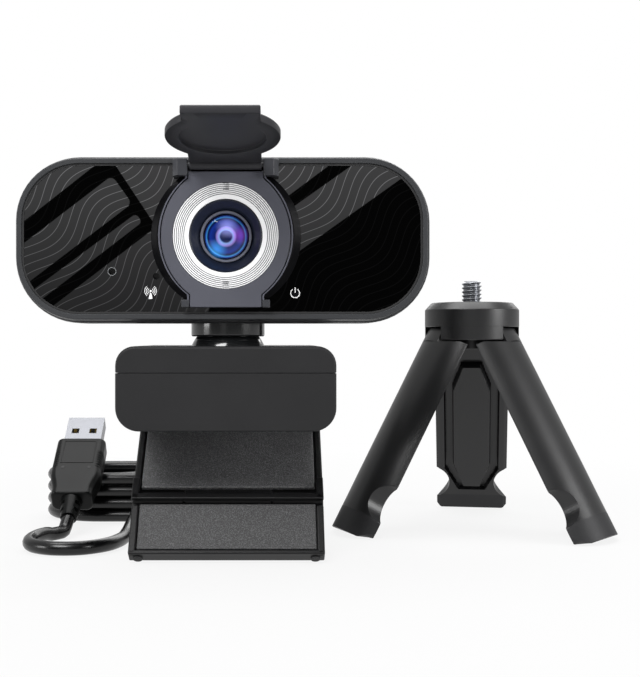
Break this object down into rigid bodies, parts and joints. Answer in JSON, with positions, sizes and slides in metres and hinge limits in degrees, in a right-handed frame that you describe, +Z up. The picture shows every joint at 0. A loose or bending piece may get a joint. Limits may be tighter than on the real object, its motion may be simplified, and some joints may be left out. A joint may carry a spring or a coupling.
{
  "type": "webcam on tripod",
  "caption": "Webcam with a hinged privacy flap on a folding monitor clip, with its coiled lead and plug, and a separate small tripod with folding legs",
  "frame": {"origin": "On the table plane, under the middle of the camera and tripod together, not counting the coiled lead and plug", "axes": "+Z is up, -Y is the way that the lens looks and +X is to the right in a front view"},
  "size_m": [0.1813, 0.1498, 0.1153],
  "materials": {
    "front_bezel": "satin, fine spark texture, softly rounded rim",
    "front_panel": "mirror-glossy black with thin wavy contour lines under the surface",
    "rear_housing": "satin, fine spark texture",
    "housing_screws": "plain steel, sunk in their wells",
    "cover_frame": "satin with polished chamfers",
    "face_plate": "fine spark texture, lighter than the frame",
    "lens_ring": "bright turned ring with concentric grooves and two notches",
    "lens_cone": "deep gloss cone with fine baffle steps",
    "lens_barrel": "grey front edge, matt black inside",
    "front_lens": "blue and violet coated glass",
    "rear_lens": "coated glass",
    "lens_holder": "black moulding",
    "ir_filter": "pink reflecting filter",
    "image_sensor": "sensor with a dark package",
    "main_board": "green solder mask",
    "board_parts": "chips and a lead connector",
    "board_screws": "small plain screws",
    "microphones": "two microphone capsules",
    "status_light": "clear light window",
    "cord_gland": "soft black bend relief with slots",
    "neck_collar": "polished black",
    "neck_screw": "plain steel",
    "clamp_nut": "pressed steel cap",
    "flap_pin": "plain steel pin",
    "privacy_flap": "satin moulding with a round recess inside",
    "swivel_dome": "polished black dome",
    "pan_washer": "plain washer",
    "pan_screw": "plain screw",
    "clip_cover": "satin, fine spark texture",
    "clip_frame": "satin, fine spark texture",
    "lip_pad": "thin soft pad",
    "top_pad": "thin soft pad",
    "cover_screws": "plain screws",
    "leg_pin": "plain steel pin",
    "upper_leg": "black moulding with lighter rims",
    "upper_pad": "coarse-grained grey rubber",
    "tripod_socket": "turned brass insert",
    "foot_pin": "plain steel pin",
    "lower_leg": "black moulding with lighter rims",
    "lower_pad": "coarse-grained grey rubber",
    "foot_pads": "two small round feet",
    "cord_drop": "glossy black jacket",
    "cord_coil": "glossy black jacket, wound in two layers",
    "cord_lead": "glossy black jacket",
    "cord_tie": "flat soft band",
    "plug_shell": "nickel-plated pressed shell with four windows",
    "plug_tongue": "white contact carrier",
    "plug_contacts": "four gold-plated strips",
    "plug_grip": "black moulding with gripping ribs",
    "plug_relief": "soft slotted bend relief",
    "tripod_hub": "satin moulding with a turned top",
    "tripod_stud": "bright threaded stud",
    "tripod_pins": "plain steel pins",
    "tripod_leg_1": "satin moulding, light line along its scooped edges",
    "tripod_leg_2": "satin moulding, light line along its scooped edges",
    "tripod_leg_3": "satin moulding, light line along its scooped edges",
    "tripod_foot_1": "soft foot with a diamond texture",
    "tripod_foot_2": "soft foot with a diamond texture",
    "tripod_foot_3": "soft foot with a diamond texture"
  },
  "bodies": {
    "stand": {"clip_cover": "clip_cover", "clip_frame": "clip_frame", "lip_pad": "lip_pad", "top_pad": "top_pad", "cover_screws": "cover_screws", "leg_pin": "leg_pin", "cord_drop": "cord_drop", "cord_coil": "cord_coil", "cord_lead": "cord_lead", "cord_tie": "cord_tie", "plug_shell": "plug_shell", "plug_tongue": "plug_tongue", "plug_contacts": "plug_contacts", "plug_grip": "plug_grip", "plug_relief": "plug_relief", "tripod_hub": "tripod_hub", "tripod_stud": "tripod_stud", "tripod_pins": "tripod_pins"},
    "swivel": {"swivel_dome": "swivel_dome", "pan_washer": "pan_washer", "pan_screw": "pan_screw"},
    "head": {"front_bezel": "front_bezel", "front_panel": "front_panel", "rear_housing": "rear_housing", "housing_screws": "housing_screws", "cover_frame": "cover_frame", "face_plate": "face_plate", "lens_ring": "lens_ring", "lens_cone": "lens_cone", "lens_barrel": "lens_barrel", "front_lens": "front_lens", "rear_lens": "rear_lens", "lens_holder": "lens_holder", "ir_filter": "ir_filter", "image_sensor": "image_sensor", "main_board": "main_board", "board_parts": "board_parts", "board_screws": "board_screws", "microphones": "microphones", "status_light": "status_light", "cord_gland": "cord_gland", "neck_collar": "neck_collar", "neck_screw": "neck_screw", "clamp_nut": "clamp_nut", "flap_pin": "flap_pin"},
    "flap": {"privacy_flap": "privacy_flap"},
    "leg": {"upper_leg": "upper_leg", "upper_pad": "upper_pad", "tripod_socket": "tripod_socket", "foot_pin": "foot_pin"},
    "foot": {"lower_leg": "lower_leg", "lower_pad": "lower_pad", "foot_pads": "foot_pads"},
    "tripod_leg_1_body": {"tripod_leg_1": "tripod_leg_1", "tripod_foot_1": "tripod_foot_1"},
    "tripod_leg_2_body": {"tripod_leg_2": "tripod_leg_2", "tripod_foot_2": "tripod_foot_2"},
    "tripod_leg_3_body": {"tripod_leg_3": "tripod_leg_3", "tripod_foot_3": "tripod_foot_3"}
  },
  "joints": [
    {"name": "head_pan", "type": "hinge", "parent": "stand", "child": "swivel", "pos_m": [-0.03021, -0.02282, 0.05136], "axis": [0, 0, 1], "range_deg": [-180, 180], "deforming": ["cord_drop"]},
    {"name": "head_tilt", "type": "hinge", "parent": "swivel", "child": "head", "pos_m": [-0.03021, -0.02282, 0.05446], "axis": [1, 0, 0], "range_deg": [-13, 13]},
    {"name": "flap_hinge", "type": "hinge", "parent": "head", "child": "flap", "pos_m": [-0.03021, -0.04052, 0.10626], "axis": [1, 0, 0], "range_deg": [-70, 101.5]},
    {"name": "leg_hinge", "type": "hinge", "parent": "stand", "child": "leg", "pos_m": [-0.03021, 0.01518, 0.04796], "axis": [1, 0, 0], "range_deg": [-16, 45]},
    {"name": "foot_hinge", "type": "hinge", "parent": "leg", "child": "foot", "pos_m": [-0.03021, -0.02256, 0.01516], "axis": [1, 0, 0], "range_deg": [-12, 75]},
    {"name": "tripod_fold_1", "type": "hinge", "parent": "stand", "child": "tripod_leg_1_body", "pos_m": [0.04844, 0.03653, 0.0618], "axis": [-0.9848, 0.1736, 0], "range_deg": [0, 28.5]},
    {"name": "tripod_fold_2", "type": "hinge", "parent": "stand", "child": "tripod_leg_2_body", "pos_m": [0.03787, 0.02393, 0.0618], "axis": [0.342, -0.9397, 0], "range_deg": [0, 28.5]},
    {"name": "tripod_fold_3", "type": "hinge", "parent": "stand", "child": "tripod_leg_3_body", "pos_m": [0.05407, 0.02107, 0.0618], "axis": [0.6428, 0.766, 0], "range_deg": [0, 28.5]}
  ]
}
